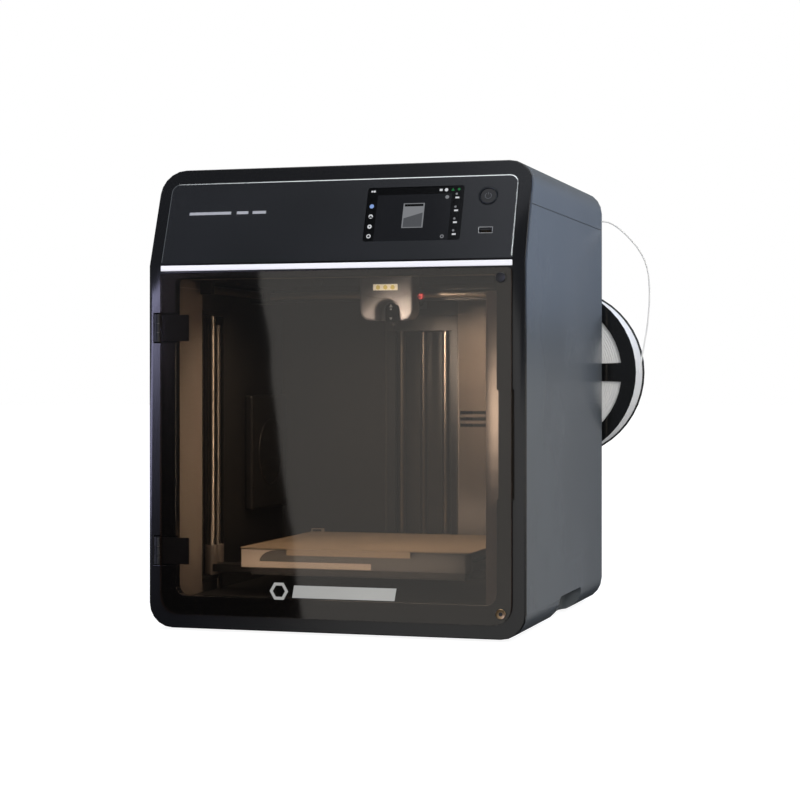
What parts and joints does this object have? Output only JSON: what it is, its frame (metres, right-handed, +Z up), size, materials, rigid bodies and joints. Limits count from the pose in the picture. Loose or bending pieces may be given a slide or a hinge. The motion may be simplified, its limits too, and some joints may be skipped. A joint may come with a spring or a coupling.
{
  "type": "fdm printer",
  "caption": "Enclosed desktop filament printer with a smoked door, slanted control panel, lifting bed, crossing head and a spool hung behind.",
  "frame": {"origin": "on the floor under the middle of the whole object, spool included", "axes": "+Z up, -Y towards the user in front of the door, +X to the machine's right as the user sees it"},
  "size_m": [0.4244, 0.4748, 0.4555],
  "materials": {
    "slate_shell": "satin moulded",
    "black_bezel": "satin",
    "anthracite": "smooth",
    "diffuser": "milky",
    "screen_glass": "gloss",
    "smoked_acrylic": "polished, smoked",
    "black_plastic": "matt",
    "rubber": "matt",
    "steel": "ground",
    "dark_steel": "powder coated",
    "supply_metal": "pressed sheet",
    "bronze": "satin",
    "liner": "satin",
    "bed_alloy": "milled",
    "gold_sheet": "textured",
    "head_grey": "satin",
    "lamp": "milky",
    "spool_black": "gloss",
    "filament_white": "smooth"
  },
  "bodies": {
    "printer": {"casing": "slate_shell", "front_bezel": "black_bezel", "control_panel": "anthracite", "light_strip": "diffuser", "touch_screen": "screen_glass", "button_ring": "dark_steel", "usb_socket": "steel", "foot_front_left": "rubber", "foot_front_right": "rubber", "foot_rear_left": "rubber", "foot_rear_right": "rubber", "hinge_base_lower": "black_plastic", "hinge_base_upper": "black_plastic", "hinge_pin_lower": "steel", "hinge_pin_upper": "steel", "left_liner": "liner", "right_liner": "liner", "rear_liner": "liner", "chamber_floor": "liner", "upper_frame": "dark_steel", "z_bracket_left": "black_plastic", "z_bracket_right": "black_plastic", "z_bracket_rear": "black_plastic", "z_rod_left": "steel", "z_rod_right": "steel", "z_rod_rear_left": "steel", "z_rod_rear_right": "steel", "y_rod_left": "steel", "y_rod_right": "steel", "xy_motor_left": "dark_steel", "xy_motor_right": "dark_steel", "z_motor": "dark_steel", "power_supply": "supply_metal", "power_inlet": "black_plastic", "spool_holder": "black_plastic", "filament_inlet": "black_plastic", "filament_strand": "filament_white"},
    "lid": {"top_lid": "slate_shell"},
    "button": {"power_button": "black_plastic"},
    "door": {"door_panel": "smoked_acrylic", "hinge_leaf_lower": "black_plastic", "hinge_leaf_upper": "black_plastic", "door_stud_lower": "bronze", "door_stud_upper": "bronze"},
    "bed": {"bed_carrier": "dark_steel", "heated_bed": "bed_alloy", "build_sheet": "gold_sheet"},
    "screw_left": {"leadscrew_left": "steel"},
    "screw_right": {"leadscrew_right": "steel"},
    "screw_rear": {"leadscrew_rear": "steel"},
    "gantry": {"gantry_beam": "dark_steel", "x_rod": "steel"},
    "head": {"print_head": "head_grey", "head_lamp": "lamp", "head_carriage": "black_plastic", "nozzle": "black_plastic"},
    "rocker": {"power_switch": "black_plastic"},
    "spool": {"spool": "spool_black", "filament_winding": "filament_white"},
    "fan": {"exhaust_fan": "black_plastic"}
  },
  "joints": [
    {"name": "door_hinge", "type": "hinge", "parent": "printer", "child": "door", "pos_m": [-0.1962, -0.2348, 0.18], "axis": [0, 0, 1], "range_deg": [-125, 0]},
    {"name": "lid_lift", "type": "slide", "parent": "printer", "child": "lid", "axis": [0, 0.3486, 0.9373], "range_m": [0, 0.06]},
    {"name": "power_button_press", "type": "slide", "parent": "printer", "child": "button", "axis": [0, 0.9373, -0.3486], "range_m": [0, 0.0015], "stiffness_N_per_m": 600},
    {"name": "bed_lift", "type": "slide", "parent": "printer", "child": "bed", "axis": [0, 0, 1], "range_m": [0, 0.224]},
    {"name": "left_screw_spin", "type": "hinge", "parent": "printer", "child": "screw_left", "pos_m": [-0.1825, -0.1146, 0.03], "axis": [0, 0, 1], "continuous": true},
    {"name": "right_screw_spin", "type": "hinge", "parent": "printer", "child": "screw_right", "pos_m": [0.1495, -0.1146, 0.03], "axis": [0, 0, 1], "continuous": true},
    {"name": "rear_screw_spin", "type": "hinge", "parent": "printer", "child": "screw_rear", "pos_m": [-0.0165, 0.0884, 0.03], "axis": [0, 0, 1], "continuous": true},
    {"name": "gantry_slide", "type": "slide", "parent": "printer", "child": "gantry", "axis": [0, 1, 0], "range_m": [-0.141, 0.061]},
    {"name": "head_slide", "type": "slide", "parent": "gantry", "child": "head", "axis": [1, 0, 0], "range_m": [-0.107, 0.112]},
    {"name": "power_switch_rock", "type": "hinge", "parent": "printer", "child": "rocker", "pos_m": [-0.1015, 0.1619, 0.06], "axis": [1, 0, 0], "range_deg": [-6, 6]},
    {"name": "spool_spin", "type": "hinge", "parent": "printer", "child": "spool", "pos_m": [0.1085, 0.2034, 0.255], "axis": [0, 1, 0], "continuous": true},
    {"name": "fan_spin", "type": "hinge", "parent": "printer", "child": "fan", "pos_m": [0.0615, 0.0858, 0.2035], "axis": [0, 1, 0], "continuous": true}
  ],
  "couplings": [
    {"joint": "left_screw_spin", "follows": "bed_lift", "rad_per_m": 785.4},
    {"joint": "right_screw_spin", "follows": "bed_lift", "rad_per_m": 785.4},
    {"joint": "rear_screw_spin", "follows": "bed_lift", "rad_per_m": 785.4}
  ]
}
